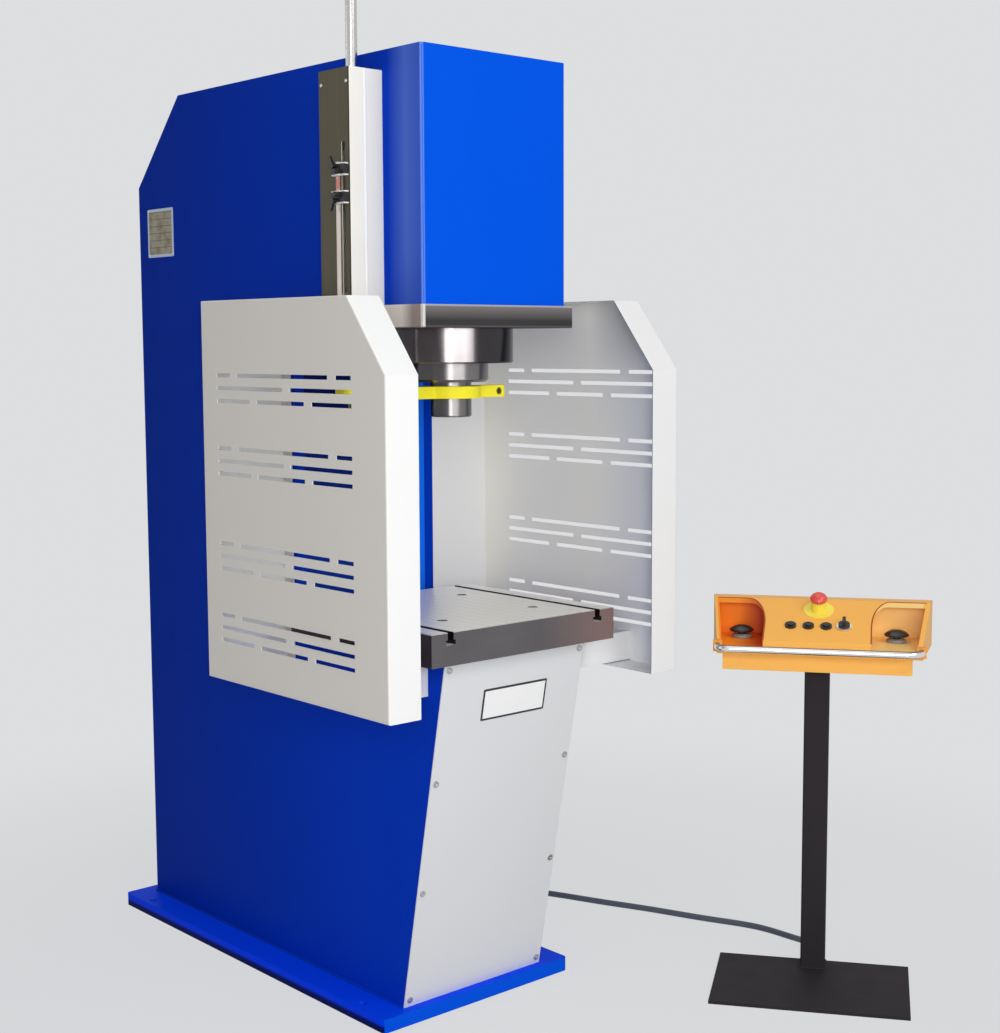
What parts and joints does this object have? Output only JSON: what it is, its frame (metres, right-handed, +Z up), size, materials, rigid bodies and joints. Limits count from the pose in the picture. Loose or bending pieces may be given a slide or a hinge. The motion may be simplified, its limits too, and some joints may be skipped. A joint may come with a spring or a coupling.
{
  "type": "hydraulic press",
  "caption": "C-frame hydraulic press with slotted side guards, T-slot table and a two-hand control stand on a cable.",
  "frame": {"origin": "floor level under the ram axis", "axes": "+Z up, -Y towards the operator, +X to the operator's right"},
  "size_m": [1.5578, 2.097, 2.763],
  "materials": {
    "blue_paint": "satin paint on steel",
    "black_paint": "satin black paint on steel",
    "grey_paint": "light grey paint on folded sheet",
    "orange_paint": "orange powder coat",
    "yellow_paint": "yellow paint",
    "machined_steel": "ground or machined steel",
    "dark_steel": "oiled dark steel",
    "stainless": "bright stainless sheet",
    "bolt_steel": "blackened steel",
    "hard_chrome": "hard chrome",
    "rail_aluminium": "drawn aluminium",
    "bush_bronze": "turned bronze",
    "seal_rubber": "seal",
    "cast_block": "cast iron",
    "black_plastic": "black plastic",
    "gear_plastic": "grey plastic housings",
    "red_plastic": "red plastic",
    "yellow_plastic": "yellow plastic",
    "cable_jacket": "dark grey jacket"
  },
  "bodies": {
    "frame": {"base_plate": "blue_paint", "left_side_plate": "blue_paint", "right_side_plate": "blue_paint", "throat_plate": "blue_paint", "bed_plate": "blue_paint", "head_plate": "dark_steel", "head_cover": "blue_paint", "frame_covers": "blue_paint", "lower_front_cover": "grey_paint", "work_table": "dark_steel", "left_guard": "grey_paint", "right_guard": "grey_paint", "guard_brackets": "grey_paint", "frame_bolts": "bolt_steel", "cylinder_barrel": "dark_steel", "cylinder_cap": "dark_steel", "lock_ring": "dark_steel", "guide_bush": "bush_bronze", "rod_seals": "seal_rubber", "switch_channel": "stainless", "switch_cover": "stainless", "guide_blocks": "black_plastic", "switch_rail": "rail_aluminium", "oil_tank": "grey_paint", "pump_unit": "cast_block", "pump_motor": "cast_block", "valve_block": "machined_steel", "hydraulic_pipes": "machined_steel", "cabinet_body": "grey_paint", "control_gear": "gear_plastic", "stand_post": "black_paint", "desk_box": "orange_paint", "control_desk": "orange_paint", "hand_rail": "hard_chrome", "rail_brackets": "black_plastic", "button_bezels": "rail_aluminium", "stop_collar": "yellow_plastic", "cable_glands": "black_plastic", "control_cable": "cable_jacket"},
    "ram": {"piston": "machined_steel", "ram_rod": "hard_chrome", "ram_arm": "yellow_paint", "guide_rod": "hard_chrome", "arm_fasteners": "bolt_steel"},
    "upper_switch_body": {"upper_switch": "black_plastic"},
    "lower_switch_body": {"lower_switch": "black_plastic"},
    "upper_lever_body": {"upper_clamp_lever": "black_plastic"},
    "lower_lever_body": {"lower_clamp_lever": "black_plastic"},
    "left_palm_body": {"left_palm_button": "black_plastic"},
    "right_palm_body": {"right_palm_button": "black_plastic"},
    "left_push_body": {"left_push_button": "black_plastic"},
    "middle_push_body": {"middle_push_button": "black_plastic"},
    "right_push_body": {"right_push_button": "black_plastic"},
    "selector_body": {"selector_knob": "black_plastic"},
    "stop_body": {"stop_head": "red_plastic"},
    "door_body": {"cabinet_door": "grey_paint"},
    "main_switch_body": {"main_switch": "black_plastic"},
    "lock_body": {"door_lock": "machined_steel"}
  },
  "joints": [
    {"name": "ram_slide", "type": "slide", "parent": "frame", "child": "ram", "axis": [0, 0, -1], "range_m": [0, 0.4]},
    {"name": "upper_switch_slide", "type": "slide", "parent": "frame", "child": "upper_switch_body", "axis": [0, 0, 1], "range_m": [-0.014, 0.006]},
    {"name": "lower_switch_slide", "type": "slide", "parent": "frame", "child": "lower_switch_body", "axis": [0, 0, 1], "range_m": [-0.2, 0.014]},
    {"name": "upper_lever_hinge", "type": "hinge", "parent": "upper_switch_body", "child": "upper_lever_body", "pos_m": [-0.344, 0.009, 2.105], "axis": [-1, 0, 0], "range_deg": [0, 50]},
    {"name": "lower_lever_hinge", "type": "hinge", "parent": "lower_switch_body", "child": "lower_lever_body", "pos_m": [-0.344, 0.009, 2.024], "axis": [1, 0, 0], "range_deg": [0, 50]},
    {"name": "left_palm_press", "type": "slide", "parent": "frame", "child": "left_palm_body", "axis": [0, 0, -1], "range_m": [0, 0.006], "stiffness_N_per_m": 600, "springref_m": -0.01},
    {"name": "right_palm_press", "type": "slide", "parent": "frame", "child": "right_palm_body", "axis": [0, 0, -1], "range_m": [0, 0.006], "stiffness_N_per_m": 600, "springref_m": -0.01},
    {"name": "left_push_press", "type": "slide", "parent": "frame", "child": "left_push_body", "axis": [0.3381, 0.2412, -0.9097], "range_m": [0, 0.004], "stiffness_N_per_m": 500, "springref_m": -0.006},
    {"name": "middle_push_press", "type": "slide", "parent": "frame", "child": "middle_push_body", "axis": [0.3381, 0.2412, -0.9097], "range_m": [0, 0.004], "stiffness_N_per_m": 500, "springref_m": -0.006},
    {"name": "right_push_press", "type": "slide", "parent": "frame", "child": "right_push_body", "axis": [0.3381, 0.2412, -0.9097], "range_m": [0, 0.004], "stiffness_N_per_m": 500, "springref_m": -0.006},
    {"name": "selector_turn", "type": "hinge", "parent": "frame", "child": "selector_body", "pos_m": [0.81919, -0.61711, 0.9439], "axis": [-0.3381, -0.2412, 0.9097], "range_deg": [-45, 45]},
    {"name": "stop_press", "type": "slide", "parent": "frame", "child": "stop_body", "axis": [0.3381, 0.2412, -0.9097], "range_m": [0, 0.005]},
    {"name": "door_hinge", "type": "hinge", "parent": "frame", "child": "door_body", "pos_m": [0.446, 1.018, 1.34], "axis": [0, 0, 1], "range_deg": [0, 110]},
    {"name": "main_switch_turn", "type": "hinge", "parent": "door_body", "child": "main_switch_body", "pos_m": [0.456, 0.745, 1.6], "axis": [1, 0, 0], "range_deg": [0, 90]},
    {"name": "lock_turn", "type": "hinge", "parent": "door_body", "child": "lock_body", "pos_m": [0.456, 0.51, 1.34], "axis": [1, 0, 0], "range_deg": [0, 90]}
  ]
}
